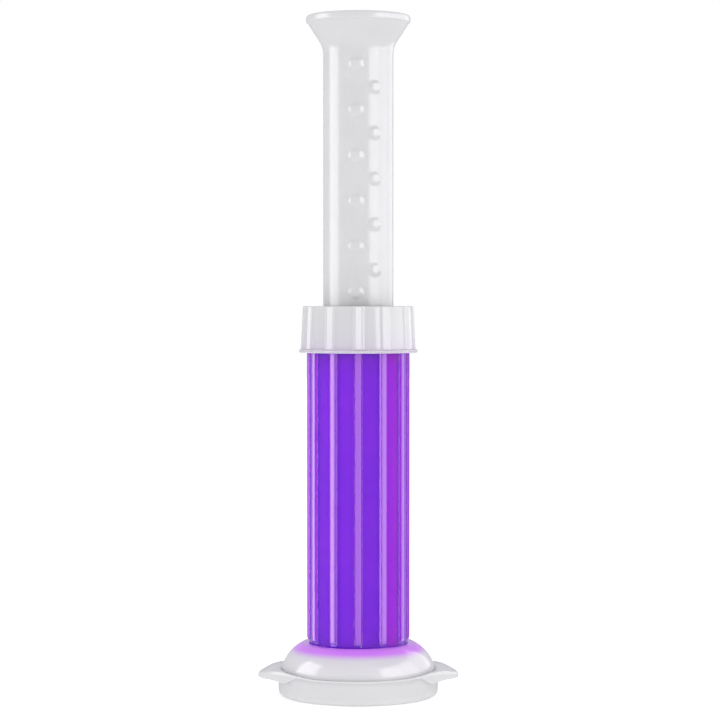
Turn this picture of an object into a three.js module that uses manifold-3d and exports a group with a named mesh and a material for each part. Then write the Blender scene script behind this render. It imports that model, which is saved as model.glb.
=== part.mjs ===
// A stamp-type gel dispenser, standing on its protective cap with its push rod fully out.
// Millimetres, +Z up. The origin is the centre of the cap's underside. The front is -Y and the cap's two
// pull ears lie along X. Everything is built in place around the Z axis, from the cap upwards.

import * as THREE from 'three';
import { mergeVertices } from 'three/addons/utils/BufferGeometryUtils.js';
import Module from 'manifold-3d';

const wasm = await Module();
wasm.setup();

// ---- Driving dimensions: round pieces, from the bore outwards ----
const BORE_RADIUS = 13.0; // inside of the barrel
const BARREL_WALL = 1.3;
const RIB_COUNT = 12; // lengthwise ribs, one of them at the front
const RIB_HEIGHT = 0.75;
const RIB_WIDTH = 2.6;
const FLANGE_LEDGE = 0.85; // the barrel's foot flange beyond its ribs
const SHOULDER_LEDGE = 0.7; // the stamp head's top beyond the flange
const HEAD_WALL = 1.4;
const DOME_SPREAD = 5.8; // the stamp head's skirt beyond its shoulder
const CREST_OUT = 4.8; // how far out and down from the shoulder the dome's tangents cross
const CREST_DROP = 2.6;
const CAP_WALL = 0.9;
const EAR_REACH = 6.0; // the pull ears beyond the cap's wall
const EAR_WIDTH = 25.0; // at the root
const EAR_TIP_WIDTH = 13.0; // width of the ear's blunt end
const COLLAR_WALL = 1.15;
const COLLAR_RIB_HEIGHT = 0.35;
const COLLAR_RIB_WIDTH = 3.2;
const COLLAR_TAPER = 0.965; // the collar's top width as a share of its bottom width
const COLLAR_LIP = 0.6; // the lip beyond the collar's ribs
const GUIDE_WALL = 1.1; // the collar's inner sleeve, outside its keyway
const ROD_WALL = 1.5;
const BUMP_HEIGHT = 0.8;
const BUMP_RADIUS = 2.25;
const LIP_OVERHANG = 0.45; // the trumpet's rounded lip beyond its flare

// ---- Driving dimensions: heights and lengths ----
const CAP_FLOOR = 1.4;
const CAP_HEIGHT = 7.3;
const CAP_FILLET = 2.6;
const CAP_INNER_FILLET = 0.7;
const EAR_ROOT_THICKNESS = 2.8; // the ears thin out evenly from the wall to the tip
const EAR_TIP_THICKNESS = 1.1;
const LINER_THICKNESS = 0.8;
const HEAD_HEIGHT = 13.1;
const DOME_FOOT = 1.0; // where the dome turns upright, above the cap's rim
const PLATE_THICKNESS = 1.4; // the petal nozzle's plate
const PLATE_INSET = 0.7; // the plate's edge inside the stamp head's skirt, clear of the dome's curve
const SNAP_RING_HEIGHT = 2.0; // the ring on the plate that snaps over the socket
const SNAP_RING_WALL = 1.3;
const SPIGOT_LENGTH = 6.0; // the barrel's end inside the stamp head
const SPIGOT_CHAMFER = 0.5;
const FLANGE_THICKNESS = 0.9;
const BARREL_LENGTH = 96.5; // from the flange's underside to the rim
const COLLAR_HEIGHT = 13.6;
const COLLAR_WEB = 2.0; // the collar's top
const COLLAR_LIP_HEIGHT = 1.0;
const RIB_OVERLAP = 1.7; // how far the barrel's ribs run up inside the collar
const BEAD_HEIGHT = 1.4; // snap bead around the barrel's neck
const BEAD_PROUD = 0.45;
const BEAD_DROP = 6.0; // from the barrel's rim to the bead's middle
const GUIDE_LENGTH = 2.8; // the inner sleeve below the web
const PISTON_HEIGHT = 8.1;
const PISTON_FLOOR = 2.2;
const PISTON_WAIST = 0.5; // how far the piston's middle is drawn in from its lips
const WIPER_HEIGHT = 1.3;
const ROD_LENGTH = 95.9;
const ROD_FLOOR = 2.0;
const FLARE_HEIGHT = 9.3; // from the rod's top down to where flare and tube would meet in a corner
const FLARE_ANGLE = THREE.MathUtils.degToRad(33); // from upright
const FLARE_TANGENT = 2.0; // length of the fillet's tangents at that corner
const LIP_HEIGHT = 2.2;

// ---- Driving dimensions: dose bumps and the nozzle's flower ----
const DOSE_STEP = 6.6; // rod travel from one dose to the next
const FIRST_BUMP = 4.0; // the lowest bump's middle above the collar
const ROW_ANGLES = [-4, 28.5].map(THREE.MathUtils.degToRad); // the two rows, from the front towards +X
const PETALS = 6;
const PETAL_IN = 6.0;
const PETAL_OUT = 11.5;

// ---- Named clearances ----
const SEAT_GAP = 0.1; // between pieces that rest on or press into each other
const HEAD_FIT = 0.2; // stamp head in cap
const SPIGOT_FIT = 0.15; // barrel in stamp head
const COLLAR_FIT = 0.27; // collar over the barrel
const KEYWAY_FIT = 0.4; // dose bumps in the collar's keyway
const KEYWAY_SIDE_FIT = 0.5;
const ROD_FIT = 0.35; // rod in the collar
const GUIDE_GAP = 0.4; // inner sleeve in the barrel
const RUNNING_GAP = 0.3; // stops and moving faces at rest
const PISTON_FIT = 0.1; // wiper lips in the barrel
const ROD_END_FIT = 0.15; // rod in the piston's cup

const SEGMENTS = 36; // facets around each round piece
const CURVE_STEPS = 5;

// ---- Radii that follow ----
const panelRadius = BORE_RADIUS + BARREL_WALL;
const ribRadius = panelRadius + RIB_HEIGHT;
const flangeRadius = ribRadius + FLANGE_LEDGE;
const socketRadius = panelRadius + SPIGOT_FIT;
const socketOuter = socketRadius + HEAD_WALL;
const shoulderRadius = flangeRadius + SHOULDER_LEDGE;
const headRadius = shoulderRadius + DOME_SPREAD;
const skirtInner = headRadius - HEAD_WALL;
const capInner = headRadius + HEAD_FIT;
const capRadius = capInner + CAP_WALL;
const collarBore = ribRadius + COLLAR_FIT;
const neckBore = panelRadius + COLLAR_FIT;
const collarPanel = collarBore + COLLAR_WALL;
const collarRib = collarPanel + COLLAR_RIB_HEIGHT;
const guideOuter = BORE_RADIUS - GUIDE_GAP;
const keywayRadius = guideOuter - GUIDE_WALL;
const rodRadius = keywayRadius - KEYWAY_FIT - BUMP_HEIGHT;
const rodBore = rodRadius - ROD_WALL;
const pistonRadius = BORE_RADIUS - PISTON_FIT;

// ---- Heights that follow ----
const linerBottom = CAP_FLOOR + SEAT_GAP;
const linerTop = linerBottom + LINER_THICKNESS;
const headBottom = linerTop + SEAT_GAP;
const headTop = headBottom + HEAD_HEIGHT;
const flangeBottom = headTop + SEAT_GAP;
const flangeTop = flangeBottom + FLANGE_THICKNESS;
const spigotBottom = flangeBottom - SPIGOT_LENGTH;
const socketBottom = spigotBottom - 5 * SEAT_GAP;
const plateTop = socketBottom - SEAT_GAP;
const plateBottom = plateTop - PLATE_THICKNESS;
const barrelTop = flangeBottom + BARREL_LENGTH;
const collarTop = barrelTop + RUNNING_GAP + COLLAR_WEB;
const collarBottom = collarTop - COLLAR_HEIGHT;
const ribTop = collarBottom + RIB_OVERLAP;
const beadMiddle = barrelTop - BEAD_DROP;
const guideBottom = collarTop - COLLAR_WEB - GUIDE_LENGTH;
const pistonTop = guideBottom - RUNNING_GAP;
const pistonBottom = pistonTop - PISTON_HEIGHT;
const rodBottom = pistonBottom + PISTON_FLOOR + SEAT_GAP;
const rodTop = rodBottom + ROD_LENGTH;
const flareCorner = rodTop - FLARE_HEIGHT;
const gelBottom = plateTop + SEAT_GAP;
const gelTop = pistonBottom - SEAT_GAP;

// ---- Solids ----

/** A point of a lathe profile: distance from the axis, height. */
const at = (radius, height) => new THREE.Vector2(radius, height);

/** The closed solid that a geometry bounds: vertices merged by place, triangles without area left out. */
function solid(geometry) {
  geometry.deleteAttribute('normal');
  geometry.deleteAttribute('uv');
  const merged = mergeVertices(geometry, 1e-4);
  const index = merged.index.array;
  const kept = [];
  for (let i = 0; i < index.length; i += 3) {
    const [a, b, c] = index.slice(i, i + 3);
    if (a !== b && b !== c && c !== a) kept.push(a, b, c);
  }
  const mesh = new wasm.Mesh({
    numProp: 3,
    vertProperties: new Float32Array(merged.attributes.position.array),
    triVerts: new Uint32Array(kept),
  });
  return new wasm.Manifold(mesh);
}

/** A solid of revolution about Z. The profile runs anticlockwise: outwards along the bottom, then up. */
function turned(profile, segments = SEGMENTS) {
  return solid(new THREE.LatheGeometry(profile, segments).rotateX(Math.PI / 2));
}

/** A plain disc or cylinder about Z. */
function disc(radius, bottom, top) {
  return turned([at(0, bottom), at(radius, bottom), at(radius, top), at(0, top)]);
}

/** A ring about Z with a rectangular section. */
function ring(inner, outer, bottom, top) {
  return turned([at(inner, bottom), at(outer, bottom), at(outer, top), at(inner, top), at(inner, bottom)]);
}

/** A flat outline raised from one height to another. */
function raised(shape, bottom, top) {
  const geometry = new THREE.ExtrudeGeometry(shape, {
    depth: top - bottom,
    bevelEnabled: false,
  });
  return solid(geometry.translate(0, 0, bottom));
}

/** A round outline with flat-topped ribs: each rib rises from the panel over a short ramp on both sides. */
function ribbedOutline(panel, rib, ribWidth) {
  const pitch = (2 * Math.PI) / RIB_COUNT;
  const half = ribWidth / 2 / rib;
  const foot = half + (rib - panel) / 2 / panel;
  const points = [];
  for (let k = 0; k < RIB_COUNT; k += 1) {
    const middle = k * pitch - Math.PI / 2;
    const stations = [
      [-foot, panel],
      [-half, rib],
      [0, rib],
      [half, rib],
      [foot, panel],
      [pitch / 2, panel],
    ];
    for (const [turn, radius] of stations) {
      const angle = middle + turn;
      points.push(at(radius * Math.cos(angle), radius * Math.sin(angle)));
    }
  }
  return new THREE.Shape(points);
}

/** The section of the dome, a distance inside its outer face: from the skirt up to the shoulder. */
function domeCurve(inset) {
  const foot = at(headRadius - inset, CAP_HEIGHT + DOME_FOOT);
  const crest = at(shoulderRadius + CREST_OUT - inset, headTop - CREST_DROP - inset);
  const shoulder = at(shoulderRadius, headTop - inset);
  return new THREE.QuadraticBezierCurve(foot, crest, shoulder).getPoints(CURVE_STEPS);
}

/** The section of the trumpet, a distance inside the rod's outer face: tube, fillet, flare. */
function flareCurve(inset, end) {
  const corner = at(rodRadius - inset, flareCorner);
  const below = at(corner.x, corner.y - FLARE_TANGENT);
  const reach = at(Math.sin(FLARE_ANGLE), Math.cos(FLARE_ANGLE)).multiplyScalar(FLARE_TANGENT);
  const above = corner.clone().add(reach);
  const fillet = new THREE.QuadraticBezierCurve(below, corner, above).getPoints(CURVE_STEPS);
  const mouth = at(corner.x + (end - corner.y) * Math.tan(FLARE_ANGLE), end);
  return [...fillet, mouth];
}

// ---- Sub-parts ----

/** The ear's outline on the +X side: a broad root inside the wall and a blunt rounded tip. */
function earOutline() {
  const root = capInner - EAR_WIDTH / 8;
  const tip = capRadius + EAR_REACH;
  const shape = new THREE.Shape();
  shape.moveTo(root, -EAR_WIDTH / 2);
  shape.bezierCurveTo(capRadius, -EAR_WIDTH / 2, tip, -EAR_TIP_WIDTH / 2, tip, 0);
  shape.bezierCurveTo(tip, EAR_TIP_WIDTH / 2, capRadius, EAR_WIDTH / 2, root, EAR_WIDTH / 2);
  shape.closePath();
  return shape;
}

/** One pull ear: its outline raised to the rim, with an underside that slopes up to the tip. */
function makeEar() {
  const geometry = new THREE.ExtrudeGeometry(earOutline(), {
    depth: 1,
    bevelEnabled: false,
    curveSegments: 8,
  });
  const place = geometry.attributes.position;
  for (let i = 0; i < place.count; i += 1) {
    const along = (place.getX(i) - capRadius) / EAR_REACH;
    const thickness = THREE.MathUtils.lerp(EAR_ROOT_THICKNESS, EAR_TIP_THICKNESS, along);
    place.setZ(i, CAP_HEIGHT - thickness * (1 - place.getZ(i)));
  }
  return solid(geometry);
}

function makeCap() {
  const outerFillet = new THREE.EllipseCurve(
    capRadius - CAP_FILLET, CAP_FILLET, CAP_FILLET, CAP_FILLET, -Math.PI / 2, 0,
  ).getPoints(CURVE_STEPS);
  const innerFillet = new THREE.EllipseCurve(
    capInner - CAP_INNER_FILLET, CAP_FLOOR + CAP_INNER_FILLET, CAP_INNER_FILLET, CAP_INNER_FILLET,
    0, -Math.PI / 2, true,
  ).getPoints(2);
  const shell = turned([
    at(0, 0),
    ...outerFillet,
    at(capRadius, CAP_HEIGHT),
    at(capInner, CAP_HEIGHT),
    ...innerFillet,
    at(0, CAP_FLOOR),
  ]);
  const right = makeEar();
  const ears = right.add(right.rotate([0, 0, 180]));
  return shell.add(ears.subtract(disc(capInner, 0, CAP_HEIGHT + 1)));
}

function makeCapLiner() {
  return disc(capInner - CAP_INNER_FILLET - SEAT_GAP, linerBottom, linerTop);
}

function makeStampHead() {
  return turned([
    at(skirtInner, headBottom),
    at(headRadius, headBottom),
    ...domeCurve(0),
    at(socketRadius, headTop),
    at(socketRadius, socketBottom),
    at(socketOuter, socketBottom),
    at(socketOuter, headTop - HEAD_WALL),
    ...domeCurve(HEAD_WALL).reverse(),
    at(skirtInner, headBottom),
  ]);
}

/** The plate under the barrel, with a flower-shaped hole and a ring that snaps over the socket. */
function makePetalNozzle() {
  const flower = new THREE.Shape();
  const steps = PETALS * 12;
  for (let k = 0; k < steps; k += 1) {
    const angle = (k / steps) * 2 * Math.PI;
    const radius = PETAL_IN + (PETAL_OUT - PETAL_IN) * Math.abs(Math.cos((PETALS / 2) * angle));
    const point = [radius * Math.cos(angle), radius * Math.sin(angle)];
    if (k === 0) flower.moveTo(...point);
    else flower.lineTo(...point);
  }
  const plate = disc(skirtInner - PLATE_INSET, plateBottom, plateTop);
  const ringInner = socketOuter + SEAT_GAP;
  const snap = ring(ringInner, ringInner + SNAP_RING_WALL, plateBottom, plateTop + SNAP_RING_HEIGHT);
  return plate.add(snap).subtract(raised(flower, plateBottom - 1, plateTop + 1));
}

function makeBarrel() {
  const outside = turned([
    at(0, spigotBottom),
    at(panelRadius - SPIGOT_CHAMFER, spigotBottom),
    at(panelRadius, spigotBottom + SPIGOT_CHAMFER),
    at(panelRadius, flangeBottom),
    at(flangeRadius, flangeBottom),
    at(ribRadius, flangeTop),
    at(panelRadius, flangeTop),
    at(panelRadius, beadMiddle - BEAD_HEIGHT / 2),
    at(panelRadius + BEAD_PROUD, beadMiddle),
    at(panelRadius, beadMiddle + BEAD_HEIGHT / 2),
    at(panelRadius, barrelTop),
    at(0, barrelTop),
  ]);
  const ribs = raised(ribbedOutline(panelRadius, ribRadius, RIB_WIDTH), flangeBottom + SEAT_GAP, ribTop);
  return outside.add(ribs).subtract(disc(BORE_RADIUS, spigotBottom - 1, barrelTop + 1));
}

function makeGelColumn() {
  return disc(BORE_RADIUS - SEAT_GAP, gelBottom, gelTop);
}

/** The sector of the collar's bore that the two rows of bumps pass through. */
function makeKeyway() {
  const side = (BUMP_RADIUS + KEYWAY_SIDE_FIT) / rodRadius;
  const start = ROW_ANGLES[0] - side - Math.PI / 2;
  const end = ROW_ANGLES[1] + side - Math.PI / 2;
  const shape = new THREE.Shape();
  shape.moveTo(0, 0);
  shape.lineTo(keywayRadius * Math.cos(start), keywayRadius * Math.sin(start));
  shape.absarc(0, 0, keywayRadius, start, end, false);
  shape.closePath();
  return raised(shape, guideBottom - 1, collarTop + 1);
}

function makeCollar() {
  const prism = new THREE.ExtrudeGeometry(ribbedOutline(collarPanel, collarRib, COLLAR_RIB_WIDTH), {
    depth: COLLAR_HEIGHT,
    bevelEnabled: false,
  });
  const place = prism.attributes.position;
  for (let i = 0; i < place.count; i += 1) {
    const width = THREE.MathUtils.lerp(1, COLLAR_TAPER, place.getZ(i) / COLLAR_HEIGHT);
    place.setXYZ(i, place.getX(i) * width, place.getY(i) * width, place.getZ(i) + collarBottom);
  }
  const lip = ring(collarBore, collarRib + COLLAR_LIP, collarBottom, collarBottom + COLLAR_LIP_HEIGHT);
  const groove = BEAD_HEIGHT / 2 + RUNNING_GAP;
  const grooveRadius = neckBore + BEAD_PROUD;
  const webBottom = collarTop - COLLAR_WEB;
  const inside = turned([
    at(0, collarBottom - 1),
    at(collarBore, collarBottom - 1),
    at(collarBore, ribTop + RUNNING_GAP),
    at(neckBore, ribTop + 2 * RUNNING_GAP),
    at(neckBore, beadMiddle - groove),
    at(grooveRadius, beadMiddle),
    at(neckBore, beadMiddle + groove),
    at(neckBore, webBottom),
    at(guideOuter, webBottom),
    at(guideOuter, guideBottom),
    at(0, guideBottom),
  ]);
  const bore = disc(rodRadius + ROD_FIT, guideBottom - 1, collarTop + 1);
  return solid(prism).add(lip).subtract(inside).subtract(bore).subtract(makeKeyway());
}

/** A soft cup on the rod's end: two wiper lips with a drawn-in waist between them. */
function makePiston() {
  const cup = rodRadius + ROD_END_FIT;
  const waist = pistonRadius - PISTON_WAIST;
  return turned([
    at(0, pistonBottom),
    at(waist, pistonBottom),
    at(pistonRadius, pistonBottom + WIPER_HEIGHT / 2),
    at(pistonRadius, pistonBottom + WIPER_HEIGHT),
    at(waist, pistonBottom + 2 * WIPER_HEIGHT),
    at(waist, pistonTop - 2 * WIPER_HEIGHT),
    at(pistonRadius, pistonTop - WIPER_HEIGHT),
    at(pistonRadius, pistonTop),
    at(cup, pistonTop),
    at(cup, pistonBottom + PISTON_FLOOR),
    at(0, pistonBottom + PISTON_FLOOR),
  ]);
}

/** One dose bump: a short round button with a broken edge, standing on the rod. */
function makeBump(angle, height) {
  const root = rodRadius - ROD_WALL / 2;
  const top = rodRadius + BUMP_HEIGHT;
  const button = turned([
    at(0, root),
    at(BUMP_RADIUS, root),
    at(BUMP_RADIUS, top - BUMP_HEIGHT / 2),
    at(BUMP_RADIUS - BUMP_HEIGHT / 2, top),
    at(0, top),
  ], 12);
  const turn = THREE.MathUtils.radToDeg(angle);
  return button.rotate([90, 0, 0]).rotate([0, 0, turn]).translate([0, 0, height]);
}

function makePushRod() {
  const lipBottom = rodTop - LIP_HEIGHT;
  const outside = flareCurve(0, lipBottom);
  const inside = flareCurve(ROD_WALL, rodTop);
  const lipRadius = outside.at(-1).x + LIP_OVERHANG;
  const round = LIP_HEIGHT / 4;
  let rod = turned([
    at(0, rodBottom),
    at(rodRadius, rodBottom),
    ...outside,
    at(lipRadius, lipBottom + round),
    at(lipRadius, rodTop - 2 * round),
    at(lipRadius - round, rodTop - round / 2),
    at(lipRadius - 2 * round, rodTop),
    ...inside.reverse(),
    at(rodBore, rodBottom + ROD_FLOOR),
    at(0, rodBottom + ROD_FLOOR),
  ]);
  const lowest = collarTop + FIRST_BUMP;
  const highest = flareCorner - FLARE_TANGENT - BUMP_RADIUS;
  const doses = Math.floor((highest - lowest) / DOSE_STEP) + 1;
  for (let k = 0; k < doses; k += 1) {
    rod = rod.add(makeBump(ROW_ANGLES[k % ROW_ANGLES.length], lowest + k * DOSE_STEP));
  }
  return rod;
}

// ---- Assembly ----

const finishes = {
  frostedWhite: new THREE.MeshStandardMaterial({ color: 0xe6e6ea, roughness: 0.35, metalness: 0 }),
  glossWhite: new THREE.MeshStandardMaterial({ color: 0xeeeef2, roughness: 0.2, metalness: 0 }),
  softWhite: new THREE.MeshStandardMaterial({ color: 0xe2dfe8, roughness: 0.4, metalness: 0 }),
  clear: new THREE.MeshStandardMaterial({
    color: 0xe9dcff, roughness: 0.08, metalness: 0, transparent: true, opacity: 0.35,
  }),
  purpleGel: new THREE.MeshStandardMaterial({ color: 0x6a1fe0, roughness: 0.15, metalness: 0 }),
  naturalWhite: new THREE.MeshStandardMaterial({ color: 0xf2f0ea, roughness: 0.55, metalness: 0 }),
};

const dispenser = new THREE.Group();

function addPiece(name, body, material) {
  const mesh = body.getMesh();
  const geometry = new THREE.BufferGeometry();
  geometry.setAttribute('position', new THREE.BufferAttribute(mesh.vertProperties, 3));
  geometry.setIndex(new THREE.BufferAttribute(mesh.triVerts, 1));
  geometry.computeVertexNormals();
  const piece = new THREE.Mesh(geometry, material);
  piece.name = name;
  dispenser.add(piece);
}

addPiece('cap', makeCap(), finishes.softWhite);
addPiece('cap_liner', makeCapLiner(), finishes.naturalWhite);
addPiece('stamp_head', makeStampHead(), finishes.softWhite);
addPiece('petal_nozzle', makePetalNozzle(), finishes.naturalWhite);
addPiece('barrel', makeBarrel(), finishes.clear);
addPiece('gel_column', makeGelColumn(), finishes.purpleGel);
addPiece('collar', makeCollar(), finishes.glossWhite);
addPiece('piston', makePiston(), finishes.naturalWhite);
addPiece('push_rod', makePushRod(), finishes.frostedWhite);

export default dispenser;
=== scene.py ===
# %% [markdown]
# # A gel stamp dispenser
# The real object is a small moulded dispenser, made like a syringe: a hollow push rod with a trumpet thumb
# end, a ribbed collar, a clear ribbed barrel full of purple gel, a domed stamp head, and a shallow cap with
# two pull ears that it stands on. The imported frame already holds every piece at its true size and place,
# but with coarse facets. Each cell below makes one piece again as a fine surface, or gives one finish, and
# says why it is made so.

# %% Load the frame
import math

import bpy
import numpy as np
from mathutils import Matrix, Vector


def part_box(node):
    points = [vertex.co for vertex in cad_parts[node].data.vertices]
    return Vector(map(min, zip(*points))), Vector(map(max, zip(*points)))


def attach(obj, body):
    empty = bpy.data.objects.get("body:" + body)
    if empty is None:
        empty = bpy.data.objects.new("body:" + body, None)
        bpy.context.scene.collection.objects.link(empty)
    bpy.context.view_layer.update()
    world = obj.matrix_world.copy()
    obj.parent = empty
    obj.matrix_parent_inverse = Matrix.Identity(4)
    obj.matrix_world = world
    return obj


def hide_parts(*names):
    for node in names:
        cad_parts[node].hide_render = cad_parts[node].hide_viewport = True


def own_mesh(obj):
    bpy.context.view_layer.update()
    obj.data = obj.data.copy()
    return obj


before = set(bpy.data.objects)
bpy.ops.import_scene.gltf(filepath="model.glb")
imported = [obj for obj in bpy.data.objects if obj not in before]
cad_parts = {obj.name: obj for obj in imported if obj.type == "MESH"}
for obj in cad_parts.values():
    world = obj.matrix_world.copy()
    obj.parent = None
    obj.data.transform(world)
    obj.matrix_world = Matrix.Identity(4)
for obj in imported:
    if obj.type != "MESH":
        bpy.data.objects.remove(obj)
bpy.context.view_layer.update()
MM = 0.001


# %% [markdown]
# ## Reading sizes from the frame
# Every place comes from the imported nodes. `reach` gives a node's radius along Y, and its lowest and highest
# point, in millimetres, so the shapes below can be written in the unit that a mould maker uses. All sizes
# could be written out again, but then the pieces would stop fitting as soon as the frame changed. So only
# sizes that no node's box shows are written out: here the barrel's bore, and its outside between the ribs
# and on them.

# %% Sizes in millimetres
def reach(node):
    """(radius along Y, lowest Z, highest Z) of a node, in millimetres."""
    low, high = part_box(node)
    return high[1] / MM, low[2] / MM, high[2] / MM


cap_r, _, cap_z1 = reach("cap")
ear_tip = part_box("cap")[1][0] / MM
liner_r, liner_z0, liner_z1 = reach("cap_liner")
head_r, head_z0, head_z1 = reach("stamp_head")
plate_r, plate_z0, plate_z1 = reach("petal_nozzle")
flange_r, barrel_z0, barrel_z1 = reach("barrel")
_, gel_z0, gel_z1 = reach("gel_column")
collar_lip_r, collar_z0, collar_z1 = reach("collar")
piston_r, piston_z0, piston_z1 = reach("piston")
_, rod_z0, rod_z1 = reach("push_rod")
bore_r = 13.0
panel_r = 14.3
rib_r = 15.05
print(f"height {rod_z1:.1f} mm, cap {2 * cap_r:.1f} mm across, ears {2 * ear_tip:.1f} mm")


# %% [markdown]
# ## Camera
# A short lens close by would open the round rims into wide ellipses. A long lens from far away keeps them
# flat, and the barrel's sides parallel. The eye is at mid-height, just above the collar, so the trumpet is
# seen a little from below and the cap a little from above.

# %% Camera
EYE_HEIGHT = 0.1162
EYE_DISTANCE = 0.734
LENS = 125.0
LOOK_DOWN = math.radians(1.375)
SIDESTEP = 0.0005

camera_data = bpy.data.cameras.new("camera")
camera_data.lens = LENS
camera_data.clip_start = 0.01
camera = bpy.data.objects.new("camera", camera_data)
camera.location = (SIDESTEP, -EYE_DISTANCE, EYE_HEIGHT)
camera.rotation_euler = (math.pi / 2 - LOOK_DOWN, 0.0, 0.0)
bpy.context.scene.collection.objects.link(camera)
bpy.context.scene.camera = camera
print("lens", LENS, "mm at", EYE_DISTANCE, "m")


# %% [markdown]
# ## Light
# Glossy plastic shows its shape by what it mirrors. A wall that faces some angle away from the eye mirrors
# what stands at twice that angle. So each softbox below is given by the range of angles that it covers: one
# at the left draws an upright stripe, and those at the right draw a broad bright side with a clean edge.
# Narrow strips are for the ribs, whose flat tops each mirror one direction only, and a rose box warms the
# barrel's right side. Plain lamps would be simpler, but each would light every piece, and the clear barrel
# needs other stripes than the white plastic does. So the boxes only shine into reflections, and each is
# kept to some of the pieces, as a studio does with flags.

# %% Softboxes
ROOM_IN_MIRRORS = (0.62, 0.62, 0.64, 1.0)
WHITE = (1.0, 1.0, 1.0, 1.0)
BOX_DISTANCE = 0.6
receivers = {}


def softbox(name, start, end, radiance, targets, low=-0.3, high=0.55, colour=WHITE[:3]):
    """An upright area light from one azimuth to another (degrees from the front towards +X).

    Width = 2 distance tan(half the angle); energy = radiance x pi x area. It lights only its targets.
    """
    width = 2 * BOX_DISTANCE * math.tan(math.radians(end - start) / 2)
    light = bpy.data.lights.new(name, "AREA")
    light.shape = "RECTANGLE"
    light.size, light.size_y = width, high - low
    light.energy = radiance * math.pi * width * (high - low)
    light.color = colour
    lamp = bpy.data.objects.new(name, light)
    turn = math.radians((start + end) / 2)
    lamp.location = (BOX_DISTANCE * math.sin(turn), -BOX_DISTANCE * math.cos(turn), (low + high) / 2)
    lamp.rotation_euler = (math.pi / 2, 0.0, turn)
    lamp.visible_camera = False
    lamp.visible_diffuse = False
    lamp.visible_transmission = False
    bpy.context.scene.collection.objects.link(lamp)
    lamp.light_linking.receiver_collection = bpy.data.collections.new(name + "_lights")
    for target in targets:
        receivers.setdefault(target, []).append(lamp.light_linking.receiver_collection)
    return lamp


ROUND = ("push_rod", "stamp_head", "cap", "piston", "petal_nozzle", "cap_liner")
COLLAR = ("collar",)
BARREL = ("barrel",)
ABOVE_FLOOR = 0.05
softbox("box_left", -106, -68, 4.0, ROUND, low=ABOVE_FLOOR)
softbox("box_right", 36, 70, 4.2, ROUND + COLLAR, low=ABOVE_FLOOR)
softbox("box_side_right", 70, 105, 2.8, ROUND + COLLAR, low=ABOVE_FLOOR)
softbox("box_back_right", 105, 145, 1.5, ROUND + COLLAR, low=ABOVE_FLOOR)
softbox("strip_back_left", -127, -113, 2.3, COLLAR)
softbox("strip_left", -70, -50, 4.0, COLLAR)
softbox("strip_front", -3, 10, 4.5, COLLAR)

# The barrel's own boxes, in warm lilac and rose: (name, start, end, radiance).
WARM_LILAC = (1.0, 0.8, 1.0)
ROSE = (1.0, 0.0, 0.1)
RIB_STRIPS = [
    ("rib_strip_back_left", -127, -113, 3.0),
    ("rib_strip_left", -67, -53, 6.0),
    ("rib_strip_front", 3, 8, 4.0),
    ("rib_strip_right", 52, 67, 2.5),
    ("rib_strip_back_right", 112, 121, 1.0),
    ("rib_strip_back_right_edge", 121, 130, 3.5),
]
for strip in RIB_STRIPS:
    softbox(*strip, BARREL, colour=WARM_LILAC)
softbox("rose_side_right", 72, 105, 2.2, BARREL, colour=ROSE)


# %% [markdown]
# ## Room and floor
# The room itself is the soft, even light: it is white for everything except mirror reflections, for which
# it is grey, so that the softboxes stand out in them. The floor could be a backdrop with a bend. A flat
# sheet that glows a little is enough here, as it runs into the white room with no horizon.

# %% Room and floor
def make_world():
    """White light, but grey for mirror reflections: mirrored = glossy ray - transmission ray.

    The subtraction is needed because a refracted ray counts as glossy too.
    """
    world = bpy.data.worlds.new("studio_room")
    world.use_nodes = True
    nodes, links = world.node_tree.nodes, world.node_tree.links
    path = nodes.new("ShaderNodeLightPath")
    mirrored = nodes.new("ShaderNodeMath")
    mirrored.operation = "SUBTRACT"
    mirrored.use_clamp = True
    links.new(path.outputs["Is Glossy Ray"], mirrored.inputs[0])
    links.new(path.outputs["Is Transmission Ray"], mirrored.inputs[1])
    mix = nodes.new("ShaderNodeMix")
    mix.data_type = "RGBA"
    mix.inputs["A"].default_value = WHITE
    mix.inputs["B"].default_value = ROOM_IN_MIRRORS
    links.new(mirrored.outputs[0], mix.inputs["Factor"])
    links.new(mix.outputs["Result"], nodes["Background"].inputs["Color"])
    bpy.context.scene.world = world


def make_floor():
    """A wide pale sheet that glows a little, so that only a faint contact shadow shows on it."""
    side = 3.0
    mesh = bpy.data.meshes.new("floor")
    corners = [(-side, -side, 0), (side, -side, 0), (side, side, 0), (-side, side, 0)]
    mesh.from_pydata(corners, [], [(0, 1, 2, 3)])
    floor = bpy.data.objects.new("floor", mesh)
    floor.visible_glossy = False
    bpy.context.scene.collection.objects.link(floor)
    paper = bpy.data.materials.new("floor_paper")
    paper.use_nodes = True
    shader = paper.node_tree.nodes["Principled BSDF"]
    shader.inputs["Base Color"].default_value = (0.9, 0.9, 0.9, 1.0)
    shader.inputs["Roughness"].default_value = 0.9
    shader.inputs["Specular IOR Level"].default_value = 0.0
    shader.inputs["Emission Color"].default_value = WHITE
    shader.inputs["Emission Strength"].default_value = 0.35
    mesh.materials.append(paper)


make_world()
make_floor()
bpy.context.scene.view_settings.view_transform = "Standard"
print("mirrors see a room of brightness", ROOM_IN_MIRRORS[:3])


# %% [markdown]
# ## Profiles with broken edges
# Nearly every piece is turned about one axis, so it starts as a section: a list of corners (radius, height)
# and how far each corner is rounded. A modelled edge is never knife sharp, and the thin arc on it is what
# catches the light. An alternative is a Bevel modifier, but arcs in the section keep every edge exact.

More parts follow.
